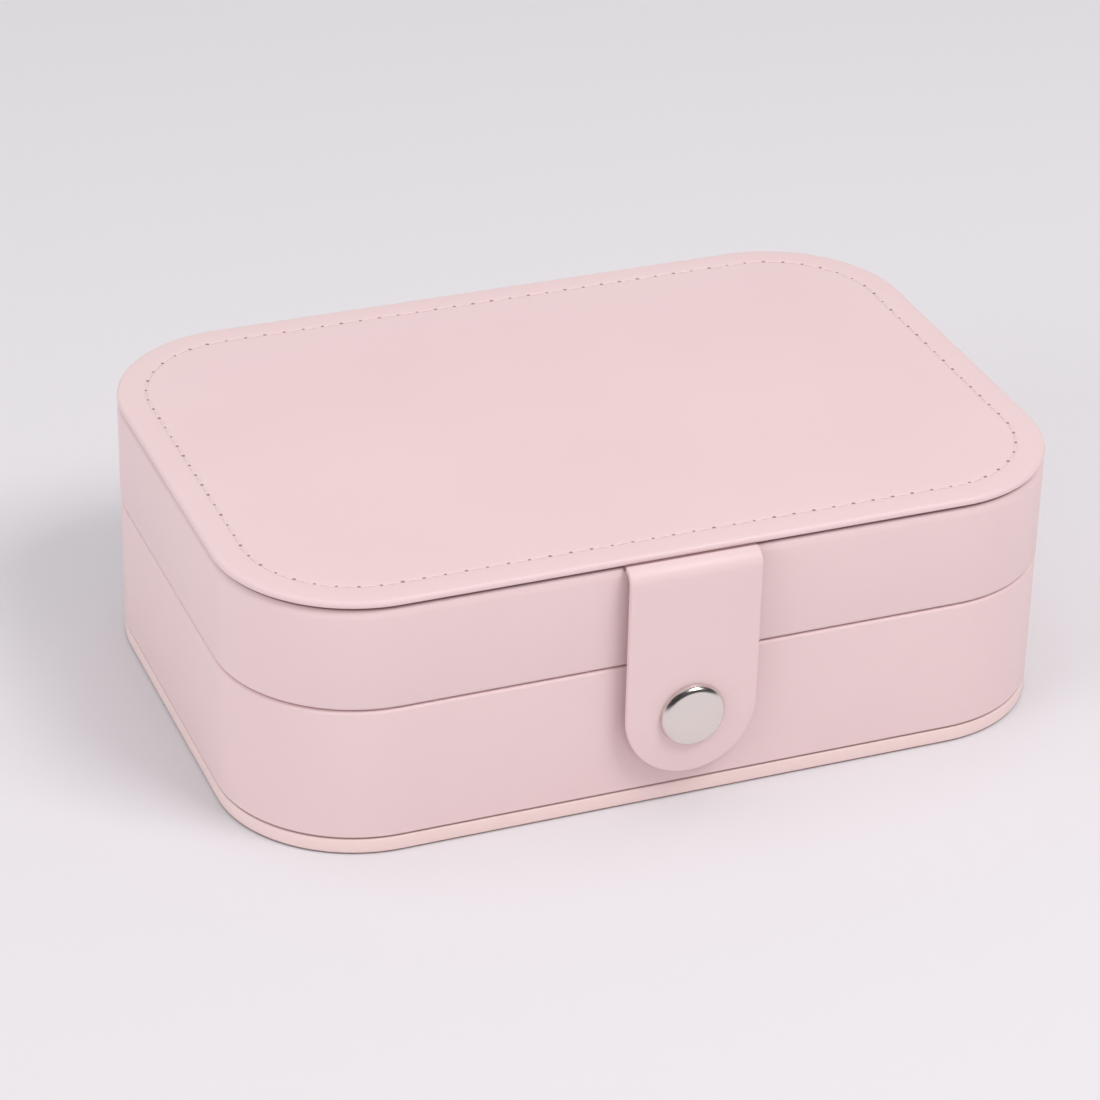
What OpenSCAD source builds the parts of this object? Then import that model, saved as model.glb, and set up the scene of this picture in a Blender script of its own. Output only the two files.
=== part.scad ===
// Leather jewellery case with a hinged lid, a snap strap and a lift-out tray.
// The origin is the middle of the underside. +Z is up, -Y is the front, and the lid hinges along the back.

/* [Case] */
// Width of the case, side to side
case_width = 165; // [140:1:200]
// Depth of the case, front to back, without the strap
case_depth = 113; // [100:1:140]
// Height of the closed case
case_height = 53.5; // [51:0.5:62]
// Radius of the upright corners
corner_radius = 27; // [22:0.5:32]
// Height at which the lid parts from the base
parting_height = 30.7; // [29.5:0.1:32]
// Gap between the lid's edge and the base's edge when closed
parting_gap = 0.3; // [0.2:0.05:0.5]

/* [Panels] */
// Thickness of the padded top panel
top_panel_t = 1.5; // [1.5:0.1:2.2]
// Thickness of the padded bottom panel
bottom_panel_t = 3.3; // [2.6:0.1:3.6]
// Height of the groove between a panel and the wall
groove_height = 0.4; // [0.3:0.05:0.6]
// Radius of the top panel's upper edge
panel_edge_radius = 0.9; // [0.6:0.05:1]
// Radius of the bottom panel's lower edge
foot_edge_radius = 0.7; // [0.5:0.05:1.5]
// Radius of the panels' edges beside the groove
groove_edge_radius = 0.4; // [0.3:0.05:0.5]
// Distance from the panel's edge to its line of stitches
stitch_inset = 5.65; // [4.6:0.05:6.6]
// Width of the channel that the stitches pull into the leather
stitch_channel_width = 1.1; // [0.8:0.1:1.6]
// Depth of that channel
stitch_channel_depth = 0.25; // [0.15:0.05:0.4]
// Thickness of the foam under the top panel
foam_t = 0.7; // [0.5:0.05:0.8]

/* [Walls] */
// Thickness of the leather on the walls
leather_t = 0.8; // [0.6:0.05:1]
// Radius of the leather's turned edges
turned_edge_radius = 0.7; // [0.4:0.05:0.75]
// Radius of the lid's soft shoulder under the top panel
shoulder_radius = 2; // [1.4:0.1:2.1]
// Reach of the leather that is turned in over the lid's lower card
shoulder_hem = 4; // [3:0.5:6]
// Thickness of the base's wall board
base_board_t = 2.2; // [2:0.1:2.6]
// Thickness of the lid's wall board
lid_board_t = 1.2; // [1:0.1:1.4]
// Height of the hem turned in inside the lid's wall
lid_hem_height = 6; // [4:0.5:9]
// Thickness of the lid's wall lining, and of the hem
wall_lining_t = 0.5; // [0.4:0.05:0.6]
// Thickness of the floor board
floor_board_t = 2; // [1.6:0.1:2.4]
// Thickness of the two cards under the top panel together
top_board_t = 2.6; // [2.6:0.1:3]
// Thickness of the velvet-covered card inside the top
ceiling_t = 1; // [0.8:0.1:1.3]
// Thickness of the velvet-covered collar inside the base
collar_t = 1.4; // [1.2:0.1:1.8]
// Height that the collar stands above the parting
collar_rise = 2.8; // [2:0.1:3.6]
// Thickness of the velvet pad on the floor
floor_lining_t = 0.8; // [0.6:0.1:1]

/* [Hinge] */
// Width of the leather hinge strip on the back
spine_width = 106; // [90:1:114]
// Depth of the crease along the hinge line
crease_depth = 0.35; // [0.2:0.05:0.4]
// Height of the crease
crease_height = 2.4; // [1.6:0.1:3.2]

/* [Strap] */
// Width of the strap
strap_width = 26; // [22:0.5:30]
// Thickness of the strap's leather
strap_t = 1.2; // [1:0.1:1.4]
// Height of the strap's lower tip
strap_tip_height = 7.5; // [6:0.5:9]
// Length of the strap that is glued in under the top panel
strap_root_length = 7; // [5:0.5:9]
// Thickness of the glue under that end
strap_glue_t = 0.1; // [0.05:0.05:0.2]
// Outer radius of the bend where the strap turns down
strap_bend_radius = 3; // [2.6:0.1:3.2]

/* [Press stud] */
// Height of the press stud's centre
snap_height = 20; // [18.5:0.5:21.5]
// Diameter of the bright cap
cap_diameter = 12.8; // [11:0.1:13.5]
// Height of the cap
cap_height = 2; // [1.7:0.1:2.4]
// Height by which the cap's face is crowned
cap_crown = 0.3; // [0.1:0.05:0.4]
// Radius of the cap's rounded rim
cap_rim_radius = 1.1; // [0.8:0.05:1.2]
// Diameter of the socket and of the stud's flange
socket_diameter = 10.4; // [9.5:0.1:11]
// Thickness of the socket
socket_t = 1.5; // [1.5:0.1:1.9]
// Diameter of the stud's knob
knob_diameter = 4.2; // [3.6:0.1:4.6]
// Height of the knob above the stud's flange
knob_height = 1.2; // [0.9:0.1:1.3]
// Radial clearance between the knob and the socket
knob_clearance = 0.3; // [0.2:0.05:0.4]
// Thickness of the stud's flange
flange_t = 0.3; // [0.25:0.05:0.4]
// Gap between the flange and the socket when closed
snap_gap = 0.25; // [0.2:0.05:0.3]
// Diameter of the rivet posts
post_diameter = 3; // [2.4:0.1:3.4]
// Diameter of the rivet's head inside the wall
rivet_head_diameter = 8; // [7:0.1:9]
// Thickness of that head
rivet_head_t = 0.8; // [0.6:0.1:1]

/* [Lower compartments] */
// Thickness of the dividers in the base and in the tray
divider_t = 1.4; // [1.2:0.1:1.8]
// Height of the lower dividers, which carry the tray
lower_divider_height = 12.2; // [10:0.2:13]
// Distance of the lower cross dividers from the middle
lower_cross_x = 27; // [20:1:34]
// Distance of the long divider behind the middle
lower_long_y = 2; // [0:0.5:8]

/* [Tray] */
// Clearance between the tray and the collar
tray_clearance = 0.6; // [0.4:0.05:0.9]
// Thickness of the tray's walls
tray_wall_t = 1.4; // [1.2:0.1:1.8]
// Thickness of the tray's floor
tray_floor_t = 1.2; // [1:0.1:1.5]
// Height of the tray
tray_height = 14.2; // [13:0.2:14.6]
// Thickness of the tray's velvet floor
tray_lining_t = 0.5; // [0.4:0.05:0.7]
// Width of the bay that holds the ring rolls
ring_bay_width = 53; // [43:1:63]
// Number of ring rolls in the bay
roll_count = 5; // [4:1:6]
// Slot between neighbouring rolls, where a ring goes
roll_slot = 0.5; // [0.4:0.1:1]
// Gap between the rolls' crowns and the tray's edge
roll_sink = 0.8; // [0.4:0.1:2]
// Width of the lift tabs
tab_width = 14; // [10:1:20]
// Thickness of the lift tabs
tab_t = 0.8; // [0.6:0.1:1]
// Height that the lift tabs stand above the tray
tab_rise = 3.2; // [2.4:0.2:3.6]

/* [Lid fittings] */
// Width of the pocket
pocket_width = 112; // [90:1:116]
// Distance from the pocket's mouth to its closed end
pocket_reach = 38; // [30:1:42]
// Distance from the case's back to the pocket's closed end
pocket_back_inset = 10; // [8:0.5:14]
// Depth inside the pocket
pocket_depth = 5; // [4.6:0.1:5]
// Thickness of the pocket's fabric
pocket_fabric_t = 0.7; // [0.5:0.1:0.8]
// Height of the elastic in the pocket's mouth
elastic_width = 4; // [3:0.5:6]
// Thickness of the elastic
elastic_t = 0.7; // [0.5:0.1:0.8]
// Width of the bar that carries the hooks
hook_bar_width = 92; // [80:1:100]
// Depth of that bar, front to back
hook_bar_depth = 9; // [8:0.5:12]
// Thickness of that bar
hook_bar_t = 1.6; // [1.2:0.1:1.8]
// Distance from the case's front to the middle of the bar
hook_bar_inset = 17; // [15:0.5:22]
// Number of hooks
hook_count = 5; // [3:1:6]
// Pitch of the hooks
hook_pitch = 18; // [14:0.5:18]
// Thickness of the hooks' wire
hook_wire = 1; // [0.8:0.1:1.1]
// Radius of the hooks' bend, at the middle of the wire
hook_bend_radius = 1.4; // [1.2:0.1:1.5]
// Straight wire between a hook's bend and its ball
hook_reach = 2.4; // [1.6:0.1:3]
// Straight wire between a hook's plate and its bend
hook_drop = 0.8; // [0.6:0.1:0.9]
// Width of a hook's plate
hook_plate_width = 5; // [4:0.5:7]
// Depth of a hook's plate, front to back
hook_plate_depth = 6; // [5.5:0.5:8]
// Thickness of a hook's plate
hook_plate_t = 0.4; // [0.3:0.1:0.6]
// Distance from the plate's middle to its rivet, and to its wire
hook_stance = 1.7; // [1.5:0.1:2]
// Diameter of a hook's ball end
hook_ball = 1.5; // [1.3:0.1:1.8]
// Diameter of the hooks' rivets
hook_rivet_diameter = 1; // [0.8:0.1:1.2]
// Height of the hooks' rivet heads
hook_rivet_head = 0.35; // [0.25:0.05:0.5]

/* [Hidden] */
$fn = 96;
eps = 0.01;

leather_colour = [0.92, 0.79, 0.79];
velvet_colour = [0.86, 0.72, 0.72];
board_colour = [0.62, 0.6, 0.57];
foam_colour = [0.95, 0.94, 0.9];
steel_colour = [0.85, 0.84, 0.83];

half_w = case_width / 2;
half_d = case_depth / 2;

// Heights, from the underside up
base_wall_bottom = bottom_panel_t + groove_height;
floor_z = bottom_panel_t + floor_board_t;
base_wall_top = parting_height - parting_gap / 2;
lid_wall_bottom = parting_height + parting_gap / 2;
top_panel_z = case_height - top_panel_t;
lid_wall_top = top_panel_z - groove_height;
top_board_z = top_panel_z - top_board_t;
ceiling_z = top_board_z - ceiling_t;
collar_top = parting_height + collar_rise;
lower_floor_z = floor_z + floor_lining_t;
tray_z = lower_floor_z + lower_divider_height;
tray_floor_z = tray_z + tray_floor_t;
tray_lined_z = tray_floor_z + tray_lining_t;
tray_top = tray_z + tray_height;

// Distances inwards from the case's outer face
base_board_in = leather_t + base_board_t;
lid_board_in = leather_t + lid_board_t;
lid_lining_in = lid_board_in + wall_lining_t;
collar_in = base_board_in + collar_t;
tray_out = collar_in + tray_clearance;
tray_in = tray_out + tray_wall_t;

// The strap stands off the wall by the press stud's own thickness
wall_front = -half_d;
socket_front = wall_front - flange_t - snap_gap;
strap_standoff = flange_t + snap_gap + socket_t;
strap_back_y = wall_front - strap_standoff;
strap_face_y = strap_back_y - strap_t;
strap_top = top_panel_z - strap_bend_radius;
strap_hinge_gap = 0.15;
bend_centre_y = strap_face_y + strap_bend_radius;
spine_top = lid_wall_top - shoulder_radius;

// A solid rounded rectangle, inset from the case's outline
module slab(inset, z, height) {
    r = corner_radius - inset;
    translate([0, 0, z])
        linear_extrude(height)
            rounded_outline(case_width - 2 * inset, case_depth - 2 * inset, r);
}

module rounded_outline(width, depth, r) {
    square([width - 2 * r, depth], center = true);
    square([width, depth - 2 * r], center = true);
    for (x = [-1, 1], y = [-1, 1])
        translate([x * (width / 2 - r), y * (depth / 2 - r)])
            circle(r);
}

// A band of wall between two insets
module band(outer, inner, z, height) {
    difference() {
        slab(outer, z, height);
        slab(inner, z - 1, height + 2);
    }
}

// Carries a profile round the case. In the profile, x is the distance inwards and y is the height.
module around_case() {
    long_x = case_width - 2 * corner_radius;
    long_y = case_depth - 2 * corner_radius;
    for (turn = [0, 180]) rotate(turn) {
        translate([half_w - corner_radius, long_y / 2, 0])
            rotate([90, 0, 0]) linear_extrude(long_y) outward() children();
        rotate(90) translate([half_d - corner_radius, long_x / 2, 0])
            rotate([90, 0, 0]) linear_extrude(long_x) outward() children();
        translate([long_x / 2, long_y / 2, 0])
            rotate_extrude(angle = 90) outward() children();
        translate([-long_x / 2, long_y / 2, 0]) rotate(90)
            rotate_extrude(angle = 90) outward() children();
    }
}

// Turns a profile so that its distances run inwards from the corner's radius
module outward() {
    translate([corner_radius, 0]) mirror([1, 0]) children();
}

// A profile with its two outer corners rounded: x from 0 inwards, y from low to high
module edge_profile(depth, low, high, r_low, r_high) {
    translate([0, low + r_low]) square([depth, max(eps, high - low - r_low - r_high)]);
    turned_corner(depth, low, low + r_low, r_low, r_low);
    turned_corner(depth, high - r_high, high, r_high, 0);
}

// The part of a profile from low to high that rounds off one outer corner, about a centre r_up above low
module turned_corner(depth, low, high, r, r_up) {
    intersection() {
        translate([0, low]) square([depth, high - low]);
        union() {
            translate([r, low + r_up]) circle(r, $fn = 48);
            translate([r, low]) square([depth, high - low]);
        }
    }
}

// The section of a velvet-covered card that stands from low to high, with its upper edge rounded
module card_profile(thickness, low, high) {
    translate([0, low]) square([thickness, high - low - thickness / 2]);
    translate([thickness / 2, high - thickness / 2]) circle(d = thickness, $fn = 32);
}

// A circle that hollows a channel with the given width and depth out of a surface at y = 0
module channel_circle(width, depth) {
    r = (width * width / 4 + depth * depth) / (2 * depth);
    translate([0, r - depth]) circle(r, $fn = 96);
}

// A cylinder along the press stud's axis, from one y to a lower one
module along_snap(y_from, y_to, diameter) {
    translate([0, y_from, snap_height])
        rotate([90, 0, 0])
            cylinder(h = y_from - y_to, d = diameter);
}

// ---------------------------------------------------------------- base

module base_bottom_cover() {
    color(leather_colour) {
        around_case()
            edge_profile(base_board_in, 0, bottom_panel_t, foot_edge_radius, groove_edge_radius);
        slab(base_board_in - eps, 0, bottom_panel_t);
    }
}

module base_floor_board() {
    color(board_colour)
        slab(leather_t, bottom_panel_t, floor_board_t);
}

module base_wall_board() {
    color(board_colour)
        difference() {
            band(leather_t, base_board_in, floor_z, base_wall_top - leather_t - floor_z);
            along_snap(0, wall_front - 1, post_diameter);
            along_snap(wall_front + base_board_in + 1, rivet_head_y(), rivet_head_diameter);
        }
}

// The skin stops at the hinge strip on the back
module base_wall_cover() {
    color(leather_colour)
        difference() {
            union() {
                around_case()
                    edge_profile(
                        leather_t, base_wall_bottom, base_wall_top, turned_edge_radius, turned_edge_radius
                    );
                band(leather_t - eps, base_board_in, base_wall_top - leather_t, leather_t);
            }
            spine_space();
            along_snap(0, wall_front - 1, post_diameter);
        }
}

module base_collar() {
    color(velvet_colour)
        around_case()
            translate([base_board_in, 0]) card_profile(collar_t, floor_z, collar_top);
}

module base_floor_lining() {
    color(velvet_colour)
        slab(collar_in, floor_z, floor_lining_t);
}

module lower_divider_long() {
    color(velvet_colour)
        translate([-half_w + collar_in, lower_long_y - divider_t / 2, lower_floor_z])
            cube([case_width - 2 * collar_in, divider_t, lower_divider_height]);
}

module lower_cross_divider(x) {
    front = wall_front + collar_in;
    color(velvet_colour)
        translate([x - divider_t / 2, front, lower_floor_z])
            cube([divider_t, lower_long_y - divider_t / 2 - front, lower_divider_height]);
}

module lower_divider_left() {
    lower_cross_divider(-lower_cross_x);
}

module lower_divider_right() {
    lower_cross_divider(lower_cross_x);
}

// ---------------------------------------------------------------- press stud

// Where the rivet's head meets the board inside the wall
function rivet_head_y() = wall_front + base_board_in - rivet_head_t;

module snap_stud() {
    flange_y = wall_front - flange_t;
    color(steel_colour) {
        along_snap(wall_front, flange_y, socket_diameter);
        translate([0, flange_y, snap_height])
            rotate([90, 0, 0])
                rotate_extrude()
                    polygon([
                        [0, -eps], [knob_diameter * 0.42, -eps], [knob_diameter * 0.42, knob_height * 0.4],
                        [knob_diameter / 2, knob_height * 0.6], [knob_diameter / 2, knob_height * 0.8],
                        [knob_diameter * 0.38, knob_height], [0, knob_height]
                    ]);
    }
}

module stud_rivet() {
    color(steel_colour) {
        along_snap(rivet_head_y() + rivet_head_t, rivet_head_y(), rivet_head_diameter - 0.2);
        along_snap(rivet_head_y() + eps, wall_front, post_diameter - 0.1);
    }
}

module snap_socket() {
    cavity = knob_height + 0.1 - snap_gap;
    color(steel_colour)
        difference() {
            translate([0, socket_front, snap_height])
                rotate([90, 0, 0])
                    rotate_extrude()
                        polygon([
                            [0, 0], [socket_diameter / 2 - 1.4, 0], [socket_diameter / 2 - 0.5, 0.3],
                            [socket_diameter / 2, 0.8], [socket_diameter / 2, socket_t], [0, socket_t]
                        ]);
            along_snap(socket_front + 1, socket_front - cavity, knob_diameter + 2 * knob_clearance);
        }
}

// A hardly crowned cap with a rounded rim, and the post that holds it to the socket through the strap
module snap_cap() {
    face_r = cap_diameter / 2 - cap_rim_radius;
    rim_top = cap_height - cap_crown;
    crown_radius = (face_r * face_r + cap_crown * cap_crown) / (2 * cap_crown);
    color(steel_colour)
        translate([0, strap_face_y, snap_height])
            rotate([90, 0, 0]) {
                rotate_extrude() {
                    intersection() {
                        translate([0, cap_height - crown_radius]) circle(crown_radius, $fn = 600);
                        square([face_r, cap_height + 1]);
                    }
                    square([cap_diameter / 2, rim_top - cap_rim_radius]);
                    translate([face_r, rim_top - cap_rim_radius])
                        intersection() {
                            circle(cap_rim_radius, $fn = 48);
                            translate([-eps, -eps]) square(cap_rim_radius + 2 * eps);
                        }
                }
                translate([0, 0, -strap_t])
                    cylinder(h = strap_t + 0.4, d = post_diameter);
            }
}

// ---------------------------------------------------------------- strap

// It hangs straight down before the wall, with a round end
module closure_strap() {
    r = strap_width / 2;
    color(leather_colour)
        difference() {
            translate([0, strap_back_y, 0])
                rotate([90, 0, 0])
                    linear_extrude(strap_t) {
                        translate([0, strap_tip_height + r]) circle(r);
                        translate([-r, strap_tip_height + r])
                            square([strap_width, strap_top - strap_tip_height - r]);
                    }
            along_snap(wall_front, strap_face_y - 1, post_diameter + 0.1);
        }
}

// The glued end lies in the groove, comes out over the lid's shoulder and bends down
module strap_root() {
    low = strap_top + strap_hinge_gap;
    color(leather_colour)
        rotate([90, 0, 90])
            translate([0, 0, -strap_width / 2])
                linear_extrude(strap_width) {
                    translate([bend_centre_y, top_panel_z - strap_t])
                        square([wall_front + strap_root_length - bend_centre_y, strap_t]);
                    intersection() {
                        translate([bend_centre_y, strap_top])
                            difference() {
                                circle(strap_bend_radius);
                                circle(strap_bend_radius - strap_t);
                            }
                        translate([strap_face_y - 1, low])
                            square([strap_bend_radius + 1 + eps, top_panel_z - low + 1]);
                    }
                }
}

// Room for the strap's glued end, with the strap's width
module strap_root_space() {
    depth = strap_t + strap_glue_t;
    translate([-strap_width / 2, wall_front - 1, top_panel_z - depth])
        cube([strap_width, strap_root_length + 1, depth + 1]);
}

// ---------------------------------------------------------------- hinge

module spine_space() {
    translate([-spine_width / 2, half_d - leather_t - eps, 0])
        cube([spine_width, leather_t + 1, spine_top]);
}

// One strip of leather over the back wall up to the lid's shoulder, with a hollow crease at the parting
module hinge_spine() {
    color(leather_colour)
        rotate([90, 0, 90])
            translate([0, 0, -spine_width / 2])
                linear_extrude(spine_width)
                    difference() {
                        translate([half_d - leather_t, base_wall_bottom])
                            square([leather_t, spine_top - base_wall_bottom]);
                        translate([half_d, parting_height])
                            rotate(-90) channel_circle(crease_height, crease_depth);
                    }
}

// ---------------------------------------------------------------- lid

module lid_top_cover() {
    pad_inset = stitch_inset + stitch_channel_width;
    color(leather_colour)
        difference() {
            union() {
                around_case()
                    edge_profile(
                        lid_board_in, top_panel_z, case_height, groove_edge_radius, panel_edge_radius
                    );
                slab(lid_board_in - eps, top_panel_z, top_panel_t);
            }
            around_case()
                translate([stitch_inset, case_height])
                    channel_circle(stitch_channel_width, stitch_channel_depth);
            slab(pad_inset, top_panel_z - 1, foam_t + 1);
        }
}

module lid_foam_pad() {
    color(foam_colour)
        slab(stitch_inset + stitch_channel_width, top_panel_z, foam_t);
}

// A lower card, rounded for the shoulder, and an upper one that carries the panel above the turned leather
module lid_top_board() {
    color(board_colour)
        difference() {
            union() {
                around_case() shoulder_section(top_board_z);
                slab(shoulder_hem, top_board_z, top_board_t);
            }
            strap_root_space();
        }
}

// What lies inside the leather at the lid's shoulder, from a height up
module shoulder_section(low) {
    r = shoulder_radius - leather_t;
    depth = shoulder_hem + eps - leather_t;
    translate([leather_t, low]) square([depth, spine_top - low + eps]);
    translate([leather_t, 0]) turned_corner(depth, spine_top, spine_top + r, r, 0);
}

module lid_wall_board() {
    low = lid_wall_bottom + leather_t;
    color(board_colour)
        band(leather_t, lid_board_in, low, top_board_z - low);
}

// The skin goes over the shoulder and in on the lower card. Below, it turns under the board and up as a hem.
module lid_wall_cover() {
    color(leather_colour)
        difference() {
            union() {
                around_case()
                    difference() {
                        edge_profile(
                            shoulder_hem, lid_wall_bottom, lid_wall_top, turned_edge_radius, shoulder_radius
                        );
                        shoulder_section(lid_wall_bottom - 1);
                    }
                band(leather_t - eps, lid_lining_in, lid_wall_bottom, leather_t);
                band(lid_board_in, lid_lining_in, lid_wall_bottom + leather_t - eps, lid_hem_height);
            }
            spine_space();
            strap_root_space();
        }
}

module lid_wall_lining() {
    low = lid_wall_bottom + leather_t + lid_hem_height;
    color(velvet_colour)
        band(lid_board_in, lid_lining_in, low, ceiling_z - low);
}

module lid_ceiling_lining() {
    color(velvet_colour)
        slab(lid_board_in, ceiling_z, ceiling_t);
}

// A flat pouch under the ceiling, open to the front
module lid_pocket() {
    back = half_d - pocket_back_inset;
    low = ceiling_z - pocket_depth - pocket_fabric_t;
    color(velvet_colour)
        difference() {
            translate([-pocket_width / 2, back - pocket_reach, low])
                cube([pocket_width, pocket_reach, ceiling_z - low]);
            translate([-pocket_width / 2 + pocket_fabric_t, back - pocket_reach - 1, low + pocket_fabric_t])
                cube([
                    pocket_width - 2 * pocket_fabric_t, pocket_reach + 1 - pocket_fabric_t, pocket_depth + 1
                ]);
        }
}

module pocket_elastic() {
    mouth = half_d - pocket_back_inset - pocket_reach;
    low = ceiling_z - pocket_depth - pocket_fabric_t - elastic_t;
    color(leather_colour)
        translate([-pocket_width / 2, mouth, low])
            cube([pocket_width, elastic_width, elastic_t]);
}

module hook_bar() {
    color(leather_colour)
        translate([0, wall_front + hook_bar_inset, ceiling_z - hook_bar_t])
            linear_extrude(hook_bar_t)
                rounded_outline(hook_bar_width, hook_bar_depth, 2);
}

module each_hook() {
    for (i = [0:hook_count - 1])
        translate([
            (i - (hook_count - 1) / 2) * hook_pitch,
            wall_front + hook_bar_inset,
            ceiling_z - hook_bar_t
        ])
            children();
}

// A plate with a wire that drops from it and turns to the front, ending in a ball
module necklace_hooks() {
    bend_y = hook_stance - hook_bend_radius;
    bend_z = -hook_plate_t - hook_drop;
    wire_z = bend_z - hook_bend_radius;
    color(steel_colour)
        each_hook() {
            difference() {
                translate([-hook_plate_width / 2, -hook_plate_depth / 2, -hook_plate_t])
                    cube([hook_plate_width, hook_plate_depth, hook_plate_t]);
                translate([0, -hook_stance, -hook_plate_t - 1])
                    cylinder(h = hook_plate_t + 2, d = hook_rivet_diameter);
            }
            translate([0, hook_stance, bend_z])
                cylinder(h = hook_drop + eps, d = hook_wire, $fn = 24);
            translate([0, bend_y, bend_z])
                rotate([0, 90, 0])
                    rotate_extrude(angle = 90, $fn = 48)
                        translate([hook_bend_radius, 0]) circle(d = hook_wire, $fn = 24);
            translate([0, bend_y, wire_z])
                rotate([90, 0, 0]) cylinder(h = hook_reach, d = hook_wire, $fn = 24);
            translate([0, bend_y - hook_reach, wire_z])
                sphere(d = hook_ball, $fn = 32);
        }
}

module hook_rivets() {
    shank = hook_rivet_diameter - 0.1;
    color(steel_colour)
        each_hook()
            translate([0, -hook_stance, -hook_plate_t]) {
                translate([0, 0, -hook_rivet_head])
                    cylinder(
                        h = hook_rivet_head, d1 = hook_rivet_diameter, d2 = 2 * hook_rivet_diameter, $fn = 24
                    );
                translate([0, 0, -eps]) cylinder(h = hook_plate_t + eps, d = shank, $fn = 24);
            }
}

// ---------------------------------------------------------------- tray

module tray_shell() {
    color(velvet_colour) {
        around_case()
            translate([tray_out, 0]) card_profile(tray_wall_t, tray_z, tray_top);
        slab(tray_in - eps, tray_z, tray_floor_t);
    }
}

module tray_floor_lining() {
    color(velvet_colour)
        slab(tray_in, tray_floor_z, tray_lining_t);
}

module tray_bay_divider(side) {
    x = side * (ring_bay_width + divider_t) / 2;
    inner_depth = case_depth - 2 * tray_in;
    color(velvet_colour)
        translate([x - divider_t / 2, inner_depth / 2, 0])
            rotate([90, 0, 0])
                linear_extrude(inner_depth)
                    card_profile(divider_t, tray_lined_z, tray_top - roll_sink);
}

module tray_divider_left() {
    tray_bay_divider(-1);
}

module tray_divider_right() {
    tray_bay_divider(1);
}

module tray_cross_divider() {
    inner = ring_bay_width / 2 + divider_t;
    color(velvet_colour)
        translate([inner, -divider_t / 2, 0])
            rotate([90, 0, 90])
                linear_extrude(half_w - tray_in - tab_t - inner)
                    card_profile(divider_t, tray_lined_z, tray_top - roll_sink);
}

// Foam rolls side by side, each round on top
module ring_rolls() {
    pitch = ring_bay_width / roll_count;
    width = pitch - roll_slot;
    r = width / 2;
    height = tray_top - roll_sink - tray_lined_z;
    inner_depth = case_depth - 2 * tray_in;
    color(velvet_colour)
        for (i = [0:roll_count - 1])
            translate([(i - (roll_count - 1) / 2) * pitch, inner_depth / 2, tray_lined_z])
                rotate([90, 0, 0])
                    linear_extrude(inner_depth)
                        union() {
                            translate([-r, 0]) square([width, height - r]);
                            translate([0, height - r]) circle(r, $fn = 64);
                        }
}

module tray_lift_tabs() {
    low = tray_lined_z + 2;
    height = tray_top + tab_rise - low;
    color(leather_colour)
        for (side = [-1, 1])
            translate([side * (half_w - tray_in - tab_t / 2) - tab_t / 2, 0, low])
                rotate([90, 0, 90])
                    linear_extrude(tab_t)
                        translate([0, height / 2])
                            tab_outline(height);
}

module tab_outline(height) {
    r = 3;
    square([tab_width, height - 2 * r], center = true);
    square([tab_width - 2 * r, height], center = true);
    for (x = [-1, 1], y = [-1, 1])
        translate([x * (tab_width / 2 - r), y * (height / 2 - r)])
            circle(r, $fn = 48);
}

base_bottom_cover();
base_floor_board();
base_wall_board();
base_wall_cover();
base_collar();
base_floor_lining();
lower_divider_long();
lower_divider_left();
lower_divider_right();
snap_stud();
stud_rivet();
hinge_spine();
lid_top_cover();
lid_foam_pad();
lid_top_board();
lid_wall_board();
lid_wall_cover();
lid_wall_lining();
lid_ceiling_lining();
lid_pocket();
pocket_elastic();
hook_bar();
necklace_hooks();
hook_rivets();
strap_root();
closure_strap();
snap_cap();
snap_socket();
tray_shell();
tray_floor_lining();
tray_divider_left();
tray_divider_right();
tray_cross_divider();
ring_rolls();
tray_lift_tabs();
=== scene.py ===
import math
import random

import bpy
from mathutils import Matrix, Vector


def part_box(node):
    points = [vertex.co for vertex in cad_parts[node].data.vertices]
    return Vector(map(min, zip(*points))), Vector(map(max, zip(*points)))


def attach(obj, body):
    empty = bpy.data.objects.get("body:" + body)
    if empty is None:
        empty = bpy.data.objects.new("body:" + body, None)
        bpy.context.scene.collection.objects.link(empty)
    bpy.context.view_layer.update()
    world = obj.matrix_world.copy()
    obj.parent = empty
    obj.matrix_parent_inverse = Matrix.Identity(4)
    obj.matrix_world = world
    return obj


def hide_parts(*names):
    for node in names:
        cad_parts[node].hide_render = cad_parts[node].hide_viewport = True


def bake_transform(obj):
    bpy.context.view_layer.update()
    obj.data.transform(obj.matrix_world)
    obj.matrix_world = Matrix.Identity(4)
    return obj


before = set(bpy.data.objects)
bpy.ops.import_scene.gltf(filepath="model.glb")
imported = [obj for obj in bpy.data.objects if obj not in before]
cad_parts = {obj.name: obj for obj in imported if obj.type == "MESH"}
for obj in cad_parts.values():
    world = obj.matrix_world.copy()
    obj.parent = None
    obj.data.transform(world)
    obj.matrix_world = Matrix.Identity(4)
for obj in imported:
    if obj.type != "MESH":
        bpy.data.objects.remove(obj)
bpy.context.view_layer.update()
MM = 0.001

# ---------------------------------------------------------------------------------------------
# The view: a long lens on a tripod, a little above the case and to its left, tilted by a hair.
# The slides put the middle of the case's foot a little to the right in the frame and low in it.
# ---------------------------------------------------------------------------------------------
azimuth, elevation, roll = (math.radians(angle) for angle in (-21.883, 29.587, 1.371))
distance, slide_right, slide_up = 779.27 * MM, 4.19 * MM, -19.67 * MM
back = Vector((
    math.sin(azimuth) * math.cos(elevation),
    -math.cos(azimuth) * math.cos(elevation),
    math.sin(elevation),
))
level_right = Vector((math.cos(azimuth), math.sin(azimuth), 0))
level_up = back.cross(level_right)
right = level_right * math.cos(roll) + level_up * math.sin(roll)
up = level_up * math.cos(roll) - level_right * math.sin(roll)
bpy.ops.object.select_all(action="DESELECT")
bpy.ops.object.camera_add()
camera = bpy.context.object
camera.matrix_world = Matrix((right, up, back)).transposed().to_4x4()
camera.location = back * distance - right * slide_right - up * slide_up
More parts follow.
